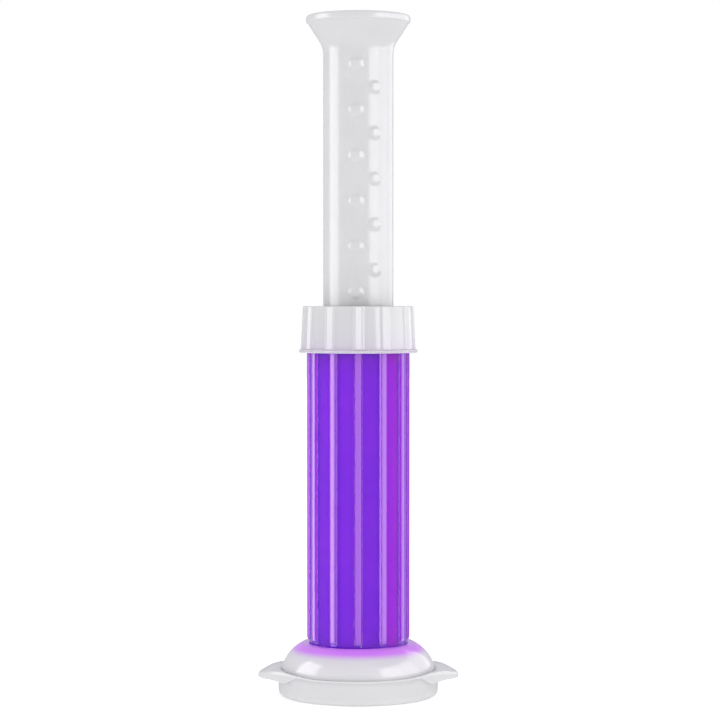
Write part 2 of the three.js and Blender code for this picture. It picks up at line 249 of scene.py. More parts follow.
# %% Section helper
def section(corners, closed=True, steps=5, hold=0.35):
    """Rows of a turned piece from corners (r, z, fillet).

    Each corner P between tangent points A and B becomes the circular arc
    ((1-s)^2 A + 2 s (1-s) w P + s^2 B) / ((1-s)^2 + 2 s (1-s) w + s^2), with w the sine of half the angle
    between its edges. One more point is held a little way along each edge, so that flat faces stay flat.
    """
    pts = np.array([c[:2] for c in corners], float)
    fillets = np.array([c[2] if len(c) > 2 else 0.0 for c in corners], float)
    before, after = np.roll(pts, 1, 0) - pts, np.roll(pts, -1, 0) - pts
    la, lb = np.linalg.norm(before, axis=1), np.linalg.norm(after, axis=1)
    ua, ub = before / la[:, None], after / lb[:, None]
    w = np.sin(np.arccos(np.clip((ua * ub).sum(1), -1, 1)) / 2)
    tangent = np.where(w > 1e-6, fillets * np.sqrt(np.clip(1 - w * w, 0, 1)) / np.maximum(w, 1e-6), 0)
    tangent = np.minimum(tangent, 0.46 * np.minimum(la, lb))
    s = np.linspace(0, 1, steps + 1)[:, None]
    rows = []
    for i, p in enumerate(pts):
        ends = not closed and i in (0, len(pts) - 1)
        if ends or tangent[i] < 1e-6:
            rows.append(p[None])
            continue
        a, b = p + ua[i] * tangent[i], p + ub[i] * tangent[i]
        top = (1 - s) ** 2 * a + 2 * s * (1 - s) * w[i] * p + s**2 * b
        arc = top / ((1 - s) ** 2 + 2 * s * (1 - s) * w[i] + s**2)
        reach_a, reach_b = min(hold, 0.2 * la[i]), min(hold, 0.2 * lb[i])
        rows += [a[None] + ua[i] * reach_a, arc, b[None] + ub[i] * reach_b]
    return np.concatenate(rows)


def bezier(a, control, b, steps=14):
    """Points of the quadratic curve (1-s)^2 a + 2 s (1-s) control + s^2 b."""
    s = np.linspace(0, 1, steps + 1)[:, None]
    return (1 - s) ** 2 * np.array(a) + 2 * s * (1 - s) * np.array(control) + s**2 * np.array(b)


square_corner = section([(0, 0), (5, 0, 1), (5, 5)], closed=False)
print("a 1 mm fillet on a square corner:", len(square_corner), "rows")


# %% [markdown]
# ## From a section to a skin
# A section carried round the axis is a grid: one row for each point of the section, one column for each
# direction. Blender's Screw modifier does the same for a plain section. With the grid in numpy, ribs,
# keyways, ears and bumps are then only changes of its radius, so each piece stays one closed skin with no
# joins to hide.

# %% Skin helpers
COLUMNS = 192


def around(count=COLUMNS):
    """Even directions round the axis, in radians from the front (-Y) towards +X."""
    return np.linspace(-math.pi, math.pi, count, endpoint=False)


def skin(name, radius, height, angles, poles=False, **layers):
    """A closed mesh from a grid of radii and heights (rows x columns), in millimetres.

    Point = (radius sin angle, -radius cos angle, height). Rows run anticlockwise round the section. With
    poles, the first and last row are single points on the axis; otherwise the last row joins the first.
    Each layer is a number for every grid point, kept as an attribute for the finish to read.
    """
    radius, height = np.broadcast_arrays(radius, height)
    rows, cols = len(radius), len(angles)
    grid = np.stack([radius * np.sin(angles), -radius * np.cos(angles), height * np.ones(cols)], -1)
    index = np.arange(rows * cols).reshape(rows, cols)
    if poles:
        index[0], index[-1] = index[0, 0], index[-1, 0]
    low = index if not poles else index[:-1]
    high = np.roll(index, -1, 0) if not poles else index[1:]
    quads = np.stack([low, np.roll(low, -1, 1), np.roll(high, -1, 1), high], -1).reshape(-1, 4)
    used, flat = np.unique(quads, return_inverse=True)
    faces = [list(dict.fromkeys(f)) for f in flat.reshape(-1, 4).tolist()]
    mesh = bpy.data.meshes.new(name)
    mesh.from_pydata((grid.reshape(-1, 3)[used] * MM).tolist(), [], faces)
    mesh.polygons.foreach_set("use_smooth", np.ones(len(faces), bool))
    for layer, values in layers.items():
        values = np.broadcast_to(values, (rows, cols)).ravel()[used]
        mesh.attributes.new(layer, "FLOAT", "POINT").data.foreach_set("value", values.astype("f4"))
    mesh.update()
    piece = bpy.data.objects.new(name, mesh)
    bpy.context.scene.collection.objects.link(piece)
    print(f"{name}: {rows} rows x {cols} columns, {len(faces)} faces")
    return piece


def column(values):
    """A row of values turned into a column, one for each row of a grid."""
    return np.asarray(values, float)[:, None]


def turned(name, rows, count=COLUMNS, poles=False):
    """A plain turned piece: the section `rows` carried round evenly."""
    return skin(name, column(rows[:, 0]), column(rows[:, 1]), around(count), poles)


def smooth(x):
    """0 below 0, 1 above 1, and 3x^2 - 2x^3 between."""
    x = np.clip(x, 0, 1)
    return x * x * (3 - 2 * x)


def finish(piece, material, body, slot, *nodes):
    """Gives a piece its material, lights and body, and hides the nodes it stands for; slot is not used."""
    piece.data.materials.append(material)
    for lit in receivers.get(nodes[0], ()):
        lit.objects.link(piece)
    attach(piece, body)
    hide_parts(*nodes)
    print(f"{piece.name} rides on {body}, finish {material.name}")
    return piece


# %% [markdown]
# ## Finishes
# All the whites are the same family of soft plastic, so they share one recipe: a Principled shader with a
# little subsurface light, a clear gloss on top, a very fine mould grain as bump, and a slow drift of
# roughness. They differ in colour, gloss and grain, as the real mouldings do. Each could be built by hand
# in the shader editor, but a recipe keeps them alike. Patterns read Object coordinates, which are metres
# here because every piece sits at the origin.

# %% Node helpers and the plastic recipe
CLOUD_SCALE = 120.0
GLOSS_SCALE = 260.0
GRAIN_SCALE = 3500.0


def add(tree, kind, **inputs):
    """A new node with the given input values."""
    node = tree.nodes.new(kind)
    for name, value in inputs.items():
        node.inputs[name.replace("_", " ")].default_value = value
    return node


def noise(tree, scale, detail=3.0, roughness=0.5):
    """Noise on Object coordinates; scale is in features per metre."""
    place = tree.nodes.new("ShaderNodeTexCoord")
    texture = add(tree, "ShaderNodeTexNoise", Scale=scale, Detail=detail, Roughness=roughness)
    tree.links.new(place.outputs["Object"], texture.inputs["Vector"])
    return texture.outputs["Fac"]


def remap(tree, value, low, high, start=0.35, end=0.65):
    """Value carried from start..end to low..high."""
    node = add(tree, "ShaderNodeMapRange", From_Min=start, From_Max=end, To_Min=low, To_Max=high)
    tree.links.new(value, node.inputs["Value"])
    return node.outputs["Result"]


def blend_colours(tree, factor, first, second):
    """first where factor is 0, second where it is 1; either may be a colour or a socket."""
    mix = tree.nodes.new("ShaderNodeMix")
    mix.data_type = "RGBA"
    tree.links.new(factor, mix.inputs["Factor"])
    for socket, colour in (("A", first), ("B", second)):
        if isinstance(colour, tuple):
            mix.inputs[socket].default_value = (*colour, 1.0)
        else:
            tree.links.new(colour, mix.inputs[socket])
    return mix.outputs["Result"]


def blend_values(tree, factor, first, second):
    """first where factor is 0, second where it is 1; first may be a number or a socket."""
    mix = tree.nodes.new("ShaderNodeMix")
    tree.links.new(factor, mix.inputs["Factor"])
    if isinstance(first, float):
        mix.inputs["A"].default_value = first
    else:
        tree.links.new(first, mix.inputs["A"])
    mix.inputs["B"].default_value = second
    return mix.outputs["Result"]


def plastic(name, colour, roughness, grain=0.02, subsurface=0.25, specular=0.5, clouding=0.03):
    """(material, tree, shader, colour socket) of a moulded white plastic."""
    material = bpy.data.materials.new(name)
    material.use_nodes = True
    tree = material.node_tree
    shader = tree.nodes["Principled BSDF"]
    shader.inputs["Subsurface Weight"].default_value = subsurface
    shader.inputs["Subsurface Radius"].default_value = (1.0, 0.9, 1.0)
    shader.inputs["Subsurface Scale"].default_value = 0.002
    shader.inputs["IOR"].default_value = 1.5
    shader.inputs["Specular IOR Level"].default_value = specular
    darker = tuple(c * (1 - clouding) for c in colour)
    cloudy = blend_colours(tree, remap(tree, noise(tree, CLOUD_SCALE), 0.0, 1.0), darker, colour)
    tree.links.new(cloudy, shader.inputs["Base Color"])
    gloss = remap(tree, noise(tree, GLOSS_SCALE, 4.0), roughness * 0.85, roughness * 1.2)
    tree.links.new(gloss, shader.inputs["Roughness"])
    bump = add(tree, "ShaderNodeBump", Strength=grain, Distance=0.0004)
    tree.links.new(noise(tree, GRAIN_SCALE, 2.0), bump.inputs["Height"])
    tree.links.new(bump.outputs["Normal"], shader.inputs["Normal"])
    return material, tree, shader, cloudy


scales = {"clouds": CLOUD_SCALE, "gloss": GLOSS_SCALE, "grain": GRAIN_SCALE}
print("pattern sizes in mm:", {name: round(1000 / scale, 1) for name, scale in scales.items()})


# %% [markdown]
# ## Push rod
# The rod is a tube with a closed lower end and a trumpet mouth, moulded in frosted white plastic. Its two
# staggered rows of round buttons are the dose clicks. They could be separate discs, but a moulding has no
# joint there, so the tube's grid is made finer where they stand and its radius is raised in their shape.

# %% Push rod shape
ROD_WALL = 1.5
ROD_FLOOR = 2.0
BUMP_HEIGHT = 0.55
BUMP_RADIUS = 2.3
BUMP_STRETCH = 1.12
BUMP_EDGE = 1.5
DOSE_STEP = 6.6
FIRST_BUMP = 4.0
PLAIN_BELOW_FLARE = 2.0
BUMP_MARGIN = 0.3
BUMP_ROW_STEP = 0.22
BUMP_COLUMNS = 60
PLAIN_COLUMNS = 132
ROW_ANGLES = np.radians([-4.0, 28.5])
FLARE_HEIGHT = 9.3
FLARE_ANGLE = math.radians(33)
LIP_HEIGHT = 2.2
LIP_OVERHANG = 0.4

rod_r = 10.3
flare_corner = rod_z1 - FLARE_HEIGHT
lip_z0 = rod_z1 - LIP_HEIGHT
flare_end = rod_r + (lip_z0 - flare_corner) * math.tan(FLARE_ANGLE)
rod_rows = section([
    (0, rod_z0),
    (rod_r, rod_z0, 0.4),
    (rod_r, flare_corner, 7.0),
    (flare_end - 0.1, lip_z0 - 0.1, 0.2),
    (flare_end + LIP_OVERHANG, lip_z0 + 0.15, 0.4),
    (flare_end + LIP_OVERHANG, rod_z1, 1.8),
    (flare_end - 2.1, rod_z1, 0.5),
    (rod_r - ROD_WALL, flare_corner + 0.4, 7.0),
    (rod_r - ROD_WALL, rod_z0 + ROD_FLOOR, 1.2),
    (0, rod_z0 + ROD_FLOOR),
], closed=False, steps=9)

highest_bump = flare_corner - PLAIN_BELOW_FLARE - BUMP_RADIUS
bump_z = np.arange(collar_z1 + FIRST_BUMP, highest_bump, DOSE_STEP)
bump_angle = ROW_ANGLES[np.arange(len(bump_z)) % 2]
print(len(bump_z), "dose bumps from", round(bump_z[0], 1), "to", round(bump_z[-1], 1), "mm")


def with_rows(rows, radius, heights):
    """Adds rows at the given heights to the straight stretch of a section at that radius."""
    on_wall = np.flatnonzero(np.abs(rows[:, 0] - radius) < 1e-6)
    inside = (rows[on_wall, 1].min() + 1e-3 < heights) & (heights < rows[on_wall, 1].max() - 1e-3)
    cut = on_wall[np.argmin(rows[on_wall, 1])] + 1
    stretch = rows[cut:on_wall[-1] + 1]
    wall = np.unique(np.round(np.r_[stretch[:, 1], heights[inside]], 4))
    return np.r_[rows[:cut], np.c_[np.full(len(wall), radius), wall], rows[on_wall[-1] + 1:]]


def make_push_rod():
    """Radius = section + height x smooth((R - d) / edge), with d the distance to the nearest button."""
    bumps_z0 = bump_z[0] - BUMP_RADIUS - BUMP_MARGIN
    fine = np.arange(bumps_z0, bump_z[-1] + BUMP_RADIUS + BUMP_MARGIN, BUMP_ROW_STEP)
    rows = with_rows(rod_rows, rod_r, fine)
    margin = (BUMP_RADIUS * BUMP_STRETCH + BUMP_MARGIN) / rod_r
    start, end = ROW_ANGLES[0] - margin, ROW_ANGLES[1] + margin
    dense = np.linspace(start, end, BUMP_COLUMNS)
    sparse = np.linspace(end, start + 2 * math.pi, PLAIN_COLUMNS)[1:-1]
    angles = np.r_[dense, sparse]
    r, z = column(rows[:, 0]), column(rows[:, 1])
    turn = (angles[None, :, None] - bump_angle + math.pi) % (2 * math.pi) - math.pi
    distance = np.hypot(turn * rod_r / BUMP_STRETCH, z[:, :, None] - bump_z).min(2)
    on_outside = (np.abs(r - rod_r) < 1e-6) & (z > collar_z1)
    rise = BUMP_HEIGHT * smooth((BUMP_RADIUS - distance) / BUMP_EDGE) * on_outside
    return skin("push_rod_skin", r + rise, z, angles, poles=True)


push_rod = make_push_rod()


# %% [markdown]
# The rod's plastic is frosted and lets a little light in, so its shaded middle stays soft. It could be made
# see-through, but frosting hides what is inside anyway. Light that goes in a little way and comes out
# again, the shader's subsurface light, gives that softness for less work.

# %% Push rod finish
rod_white = plastic("rod_white", (0.66, 0.66, 0.675), 0.2, grain=0.03)[0]
finish(push_rod, rod_white, "plunger", "rod_white", "push_rod")


# %% [markdown]
# ## Collar
# The collar closes the barrel's top. Twelve flat ribs stand on its outside in line with the barrel's own,
# it widens slightly downwards, as a moulding must to leave its tool, and it ends in a thin lip. Its bore
# has one keyway for the rod's buttons. Ribs could be blocks joined to a ring, but joins leave creases. Here
# ribs and keyway are both changes of radius with direction, and the columns of the grid are set close to
# each rib's corners, so that flat faces stay flat.

# %% Collar shape
RIB_COUNT = 12
PITCH = 2 * math.pi / RIB_COUNT


def across(angles, radius):
    """Distance in millimetres from a direction to the middle of the nearest rib."""
    return np.abs((angles + PITCH / 2) % PITCH - PITCH / 2) * radius


def rib(angles, shape):
    """Share of rib: 1 on its flat top, then a straight flank down to 0; all widths are in millimetres."""
    foot = shape["top"] / 2 + shape["flank"]
    return np.clip((foot - across(angles, shape["radius"])) / shape["flank"], 0, 1)


def rib_columns(shape, corner=0.06):
    """Directions for ribs: a pair close to each corner of the rib, so that it is only slightly rounded.

    One more pair on each half, around core / 2, keeps the bore behind the flat top round.
    """
    core, top = shape["core"] / 2, shape["top"] / 2
    middle, foot = top + shape["flank"] / 2, top + shape["flank"]
    places = [0, core - corner, core + corner, top - corner, top + corner]
    places += [middle, foot - corner, foot + corner]
    edges = np.array(places) / shape["radius"]
    half = np.r_[edges, np.linspace(edges[-1] + 0.02, PITCH / 2, 8)[:-1]]
    one = np.r_[half, PITCH / 2, PITCH - half[:0:-1]]
    return np.concatenate([one + k * PITCH for k in range(RIB_COUNT)]) - math.pi


def flat_top(radius, angles):
    """Radius of a flat face whose middle is at that radius: radius / cos(turn from the rib's middle)."""
    return radius / np.cos((angles + PITCH / 2) % PITCH - PITCH / 2)


def window(z, low, high, end):
    """0 up to one height and from another, 1 between them, with a quarter circle of radius `end` at each."""
    depth = np.clip(np.minimum(z - low, high - z), 0, end)
    return np.sqrt(1 - (1 - depth / end) ** 2)


COLLAR_RIB = dict(radius=16.6, core=1.2, top=2.7, flank=0.45)
COLLAR_RIB_HEIGHT = 0.35
COLLAR_TAPER = 0.965
COLLAR_LIP = 0.6
KEYWAY_R = 11.5
KEYWAY_MARGIN = 2.75 / rod_r
KEYWAY_BLEND = 0.03
ROD_FIT = 0.35
GUIDE_LENGTH = 2.8
GUIDE_FIT = 0.4
WEB = 2.0
SNAP_FIT = 0.27
SNAP_BEAD = 0.45
SNAP_DEPTH = 6.0
collar_panel = collar_lip_r - COLLAR_LIP - COLLAR_RIB_HEIGHT
skirt_bore = rib_r + SNAP_FIT
neck_bore = panel_r + SNAP_FIT
web_z0 = collar_z1 - WEB
guide_z0 = web_z0 - GUIDE_LENGTH
guide_r = bore_r - GUIDE_FIT
bead_z = barrel_z1 - SNAP_DEPTH

collar_rows = section([
    (skirt_bore, collar_z0, 0.15),
    (collar_lip_r, collar_z0, 0.3),
    (collar_lip_r, collar_z0 + 0.8, 0.25),
    (collar_panel, collar_z0 + 1.05, 0.3),
    (collar_panel * COLLAR_TAPER, collar_z1, 0.35),
    (rod_r + ROD_FIT, collar_z1, 0.25),
    (rod_r + ROD_FIT, guide_z0, 0.2),
    (guide_r, guide_z0, 0.2),
    (guide_r, web_z0, 0.1),
    (neck_bore, web_z0, 0.1),
    (neck_bore, bead_z + 1.0, 0.1),
    (neck_bore + SNAP_BEAD, bead_z, 0.1),
    (neck_bore, bead_z - 1.0, 0.1),
    (neck_bore, collar_z0 + 2.6, 0.1),
    (skirt_bore, collar_z0 + 2.1, 0.1),
])


def make_collar():
    """Radius = section + ribs on the outside + keyway in the bore."""
    r, z = column(collar_rows[:, 0]), column(collar_rows[:, 1])
    angles = rib_columns(COLLAR_RIB)
    key_start, key_end = ROW_ANGLES[0] - KEYWAY_MARGIN, ROW_ANGLES[1] + KEYWAY_MARGIN
    keyed = np.linspace(key_start - 0.05, key_end + 0.05, 5)
    angles = np.unique(np.round(np.r_[angles, keyed], 6))
    outside = (r > collar_panel * COLLAR_TAPER - 0.5) & (z > collar_z0 + 1.0)
    ribs = (flat_top(r + COLLAR_RIB_HEIGHT, angles) - r) * rib(angles, COLLAR_RIB) * outside
    in_bore = np.abs(r - rod_r - ROD_FIT) < 0.3
    low = smooth((angles - key_start) / KEYWAY_BLEND + 0.5)
    high = smooth((key_end - angles) / KEYWAY_BLEND + 0.5)
    keyway = (KEYWAY_R - rod_r - ROD_FIT) * low * high * in_bore
    return skin("collar_skin", r + ribs + keyway, z, angles)


collar = make_collar()


# %% [markdown]
# Near its lower edge the collar picks up violet from the gel below it: light that has gone through the gel
# leaks into the translucent skirt. Tracing light along that path would be slow, so a gradient up the skirt
# stands for it, the same from every side.

# %% Collar finish
VIOLET_TINT = (0.62, 0.57, 0.68)
TINT_BELOW = 2.0
TINT_HEIGHT = 9.0


def height_ramp(tree, start, end):
    """0 at height start, 1 at height end (millimetres), smooth between."""
    place = tree.nodes.new("ShaderNodeTexCoord")
    split = tree.nodes.new("ShaderNodeSeparateXYZ")
    tree.links.new(place.outputs["Object"], split.inputs["Vector"])
    ramp = add(tree, "ShaderNodeMapRange", From_Min=start * MM, From_Max=end * MM)
    ramp.interpolation_type = "SMOOTHSTEP"
    tree.links.new(split.outputs["Z"], ramp.inputs["Value"])
    return ramp.outputs["Result"]


collar_white, tree, shader, cloudy = plastic("collar_white", (0.64, 0.64, 0.66), 0.12, grain=0.015)
up_skirt = height_ramp(tree, collar_z0 - TINT_BELOW, collar_z0 + TINT_HEIGHT)
tinted = blend_colours(tree, up_skirt, VIOLET_TINT, cloudy)
tree.links.new(tinted, shader.inputs["Base Color"])
finish(collar, collar_white, "barrel", "collar_white", "collar")


# %% [markdown]
# ## Barrel
# A clear tube with twelve lengthwise ribs, which round off at their lower ends. A purple tube would be
# simpler, but the piston has to show behind it as it moves down. The plastic is therefore a real wall with
# an outside and a bore: one closed skin in a clear, refracting material, with the gel as a piece of its own
# inside it.

# %% Barrel shape
BARREL_RIB = dict(radius=rib_r, core=0.8, top=1.6, flank=0.45)
RIB_FOOT = 1.4
RIB_IN_COLLAR = 1.7
FLANGE_DEPTH = 0.9
FLANGE_GAP = 0.1
flange_z0 = head_z1 + FLANGE_GAP
flange_z1 = flange_z0 + FLANGE_DEPTH
rib_z0 = flange_z1 - 0.25
rib_z1 = collar_z0 + RIB_IN_COLLAR
barrel_rows = section([
    (bore_r, barrel_z0, 0.2),
    (panel_r, barrel_z0, 0.5),
    (panel_r, flange_z0, 0.15),
    (flange_r, flange_z0, 0.2),
    (flange_r, flange_z0 + 0.45, 0.3),
    (panel_r, flange_z1, 0.4),
    (panel_r, bead_z - 0.7, 0.1),
    (panel_r + SNAP_BEAD, bead_z, 0.2),
    (panel_r, bead_z + 0.7, 0.1),
    (panel_r, barrel_z1, 0.25),
    (bore_r, barrel_z1, 0.25),
])


def make_barrel():
    """Radius = section + rib height x rib(direction) x window(height); each zone of a rib gets an attribute
    for its painted glow.
    """
    foot = rib_z0 + RIB_FOOT * (1 - np.cos(np.linspace(0, math.pi / 2, 10)))
    levels = np.r_[foot, np.linspace(foot[-1] + 1, rib_z1 - 1, 24), np.linspace(rib_z1 - 0.8, rib_z1, 6)]
    rows = with_rows(barrel_rows, panel_r, np.round(levels, 4))
    r, z = column(rows[:, 0]), column(rows[:, 1])
    angles = rib_columns(BARREL_RIB)
    outside = (r > panel_r - 0.05) & (z > flange_z1 - 0.3) & (z < rib_z1 + 0.2)
    present = window(z, rib_z0, rib_z1, RIB_FOOT) * outside
    ribs = (flat_top(rib_r, angles) - panel_r) * rib(angles, BARREL_RIB) * present
    outward = across(angles, BARREL_RIB["radius"])
    zone_ends = [BARREL_RIB["top"] / 2, BARREL_RIB["top"] / 2 + BARREL_RIB["flank"]]
    zone = np.searchsorted(zone_ends, outward)
    return skin("barrel_skin", r + ribs, z, angles, top=present * (zone == 0), flank=present * (zone == 1))


barrel = make_barrel()


# %% [markdown]
# The plastic is clear with a breath of violet. In a rib the gel's light is caught and led along, so its flat
# top glows lilac and its flanks glow magenta. Refraction alone leaves thin, broken lines there, so this glow
# is painted light: each zone of a rib has its own painted tint and clearness. The zones are attributes of the
# mesh, worked out with the rib's shape.

# %% Barrel finish
WALL_TINT = (0.98, 0.90, 1.0)
# Painted glow of the ribs: a lilac tint on each flat top and a magenta one on each flank, each with less
# clearness.
RIB_PAINTED_GLOW = {"top": ((0.60, 0.22, 0.92), 0.45),
              "flank": ((0.34, 0.002, 0.68), 0.3)}


def make_clear():
    """Clear plastic with a faint drift of roughness, whose ribs carry a painted glow: their own tint and
    clearness.

    For each zone of a rib: value = (1 - share) x value + share x the zone's own.
    """
    material = bpy.data.materials.new("clear_barrel")
    material.use_nodes = True
    tree = material.node_tree
    shader = tree.nodes["Principled BSDF"]
    tint_and_painted_glow, clearness = WALL_TINT, 1.0
    for layer, (colour, clear) in RIB_PAINTED_GLOW.items():
        share = tree.nodes.new("ShaderNodeAttribute")
        share.attribute_name = layer
        # The wall's own violet tint, with the ribs' painted glow blended in.
        tint_and_painted_glow = blend_colours(tree, share.outputs["Fac"], tint_and_painted_glow, colour)
        clearness = blend_values(tree, share.outputs["Fac"], clearness, clear)
    tree.links.new(tint_and_painted_glow, shader.inputs["Base Color"])
    tree.links.new(clearness, shader.inputs["Transmission Weight"])
    shader.inputs["IOR"].default_value = 1.49
    gloss = remap(tree, noise(tree, 180.0), 0.015, 0.05)
    tree.links.new(gloss, shader.inputs["Roughness"])
    return material


finish(barrel, make_clear(), "barrel", "clear_barrel", "barrel")


# %% [markdown]
# ## Gel
# The gel fills the bore without any air between, so its skin reaches a hair into the plastic and its own
# gloss is turned nearly off: where two clear materials wet each other there is almost no mirror between
# them. It could be a volume that absorbs light, but that renders slowly and not every viewer can show it.
# A faint violet emission is a painted glow: it stands for light that wanders inside the gel and comes out
# again. The gel shortens as the plunger goes down, so it is squashed towards its lower end.

# %% Gel shape and finish
GEL_OVERLAP = 0.02
GEL_VIOLET = (0.33, 0.005, 0.98)
GEL_SWIRL = (0.37, 0.009, 0.99)
# Painted glow of the gel: a faint violet emission, though the gel is no lamp.
GEL_PAINTED_GLOW = (0.10, 0.0, 1.0)
GEL_PAINTED_GLOW_STRENGTH = 0.06
gel_rows = section([
    (0, gel_z0),
    (bore_r + GEL_OVERLAP, gel_z0, 0.3),
    (bore_r + GEL_OVERLAP, gel_z1, 0.3),
    (0, gel_z1),
], closed=False)
gel = turned("gel_fill", gel_rows, poles=True)


def make_gel_material():
    """Deep violet with slow, soft swirls left by filling."""
    material = bpy.data.materials.new("purple_gel")
    material.use_nodes = True
    tree = material.node_tree
    shader = tree.nodes["Principled BSDF"]
    swirl = noise(tree, 45.0, 2.0)
    colour = blend_colours(tree, remap(tree, swirl, 0.0, 1.0), GEL_VIOLET, GEL_SWIRL)
    tree.links.new(colour, shader.inputs["Base Color"])
    gloss = remap(tree, noise(tree, 90.0), 0.2, 0.32)
    tree.links.new(gloss, shader.inputs["Roughness"])
    shader.inputs["Specular IOR Level"].default_value = 0.1
    shader.inputs["Subsurface Weight"].default_value = 0.3
    shader.inputs["Subsurface Radius"].default_value = (0.6, 0.2, 1.0)
    shader.inputs["Subsurface Scale"].default_value = 0.003
    # Painted glow: violet emission on the gel.
    shader.inputs["Emission Color"].default_value = (*GEL_PAINTED_GLOW, 1.0)
    shader.inputs["Emission Strength"].default_value = GEL_PAINTED_GLOW_STRENGTH
    return material


finish(gel, make_gel_material(), "barrel", "purple_gel", "gel_column")
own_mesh(gel)


# %% [markdown]
# ## Stamp head
# The head is a thin dome that ends in an upright skirt. Inside it, a short socket holds the barrel's foot.
# A sheet with a Solidify modifier would do for the dome, but not for the socket and the rounded rim. So the
# whole section is drawn. Dome and underside are the same curve at two depths, which keeps the wall even, as
# a moulder wants it.

# %% Stamp head shape
HEAD_WALL = 1.4
SOCKET_FIT = 0.15
SOCKET_ABOVE_PLATE = 1.5
SHOULDER = 0.7
SKIRT_ABOVE_CAP = 1.0
CREST_OUT = 4.8
CREST_DROP = 2.6
socket_r = panel_r + SOCKET_FIT
socket_out = socket_r + HEAD_WALL
shoulder_r = flange_r + SHOULDER
dome_foot = cap_z1 + SKIRT_ABOVE_CAP
socket_z0 = plate_z0 + SOCKET_ABOVE_PLATE


def dome(inset):
    """The dome's curve, `inset` inside its outer face, from the skirt up to the shoulder."""
    crest = (shoulder_r + CREST_OUT - inset, head_z1 - CREST_DROP - inset)
    return bezier((head_r - inset, dome_foot), crest, (shoulder_r, head_z1 - inset))


def make_stamp_head():
    """Underside of the rim, outer dome, shoulder, socket, inner dome, back to the rim."""
    rim = section([
        (head_r - HEAD_WALL, dome_foot),
        (head_r - HEAD_WALL, head_z0, 0.3),
        (head_r, head_z0, 0.3),
        (head_r, dome_foot),
    ], closed=False)
    socket = section([
        (shoulder_r, head_z1),
        (socket_r, head_z1, 0.25),
        (socket_r, socket_z0, 0.2),
        (socket_out, socket_z0, 0.2),
        (socket_out, head_z1 - HEAD_WALL, 0.1),
        (shoulder_r, head_z1 - HEAD_WALL),
    ], closed=False)
    rows = np.r_[rim, dome(0)[1:], socket[1:], dome(HEAD_WALL)[::-1][1:-1]]
    return turned("stamp_head_skin", rows)


stamp_head = make_stamp_head()


# %% [markdown]
# The barrel's foot lights the dome from inside: there is a violet crescent right under it, which fades to
# lilac and then to white. A lamp inside the head could do it, but its light would also fall on the cap and
# the floor. The tint here depends only on the distance from the axis, so it is the same all round.

# %% Stamp head finish
GLOW = (0.66, 0.22, 0.95)
GLOW_FROM, GLOW_TO = 18.2, 20.4
LILAC = (0.68, 0.63, 0.74)
LILAC_FROM, LILAC_TO = 18.5, 22.4


def radius_ramp(tree, start, end):
    """0 at one distance from the axis, 1 at another (millimetres), smooth between."""
    place = tree.nodes.new("ShaderNodeTexCoord")
    mask = tree.nodes.new("ShaderNodeVectorMath")
    mask.operation = "MULTIPLY"
    mask.inputs[1].default_value = (1.0, 1.0, 0.0)
    length = tree.nodes.new("ShaderNodeVectorMath")
    length.operation = "LENGTH"
    tree.links.new(place.outputs["Object"], mask.inputs[0])
    tree.links.new(mask.outputs["Vector"], length.inputs[0])
    ramp = add(tree, "ShaderNodeMapRange", From_Min=start * MM, From_Max=end * MM)
    ramp.interpolation_type = "SMOOTHSTEP"
    tree.links.new(length.outputs["Value"], ramp.inputs["Value"])
    return ramp.outputs["Result"]


head_white, tree, shader, cloudy = plastic("head_white", (0.72, 0.71, 0.74), 0.14, grain=0.02)
lilac = blend_colours(tree, radius_ramp(tree, LILAC_FROM, LILAC_TO), LILAC, cloudy)
glow = blend_colours(tree, radius_ramp(tree, GLOW_FROM, GLOW_TO), GLOW, lilac)
tree.links.new(glow, shader.inputs["Base Color"])
finish(stamp_head, head_white, "barrel", "head_white", "stamp_head")


# %% [markdown]
# ## Cap
# The cap is a shallow tray of soft plastic with two broad ears to pull it off by. The ears could be tabs
# joined to the rim, but in the moulding they grow out of it. Ear and rim are one ledge that reaches far out
# at the ears and is only a thin bead elsewhere, so the whole cap is one turned skin whose ledge changes its
# reach with direction.

# %% Cap shape
CAP_WALL = 0.9
CAP_FLOOR = 1.4
CAP_FILLET = 2.6
RIM_BEAD = 0.06
EAR_ROOT_DEPTH = 2.8
EAR_TIP_DEPTH = 1.5
EAR_RISE = 0.7
EAR_DROOP = 1.3
EAR_RIDGE = 0.4
EAR_SPAN = 42.0
EAR_TIP_ROUND = 6.0
EAR_FROM = 22.0
RIM_DEPTH = 0.5
RISE_SPAN = 62
RISE_BLEND = 40
RIDGE_FROM_EDGE = 0.6
RIDGE_WIDTH = 0.9
EAR_BLEND = 1.6
LEDGE_END = 0.86
EDGE_CENTRE = 0.87
LEDGE_ROWS = 12
CAP_COLUMNS = 288


def ear_turn(angles):
    """Degrees from a direction to the middle of the nearer ear."""
    return np.degrees(np.abs((angles + math.pi) % math.pi - math.pi / 2))


def ear_reach(angles):
    """How far the ledge stands out: a bead all round, and a tab that falls off from each ear's middle.

    With t the turn from the nearer ear's middle, rounded near 0, reach = length x (1 - t / span)^1.5.
    """
    turn = np.hypot(ear_turn(angles), EAR_TIP_ROUND) - EAR_TIP_ROUND
    return RIM_BEAD + (ear_tip - cap_r - RIM_BEAD) * np.clip(1 - turn / EAR_SPAN, 0, 1) ** 1.5


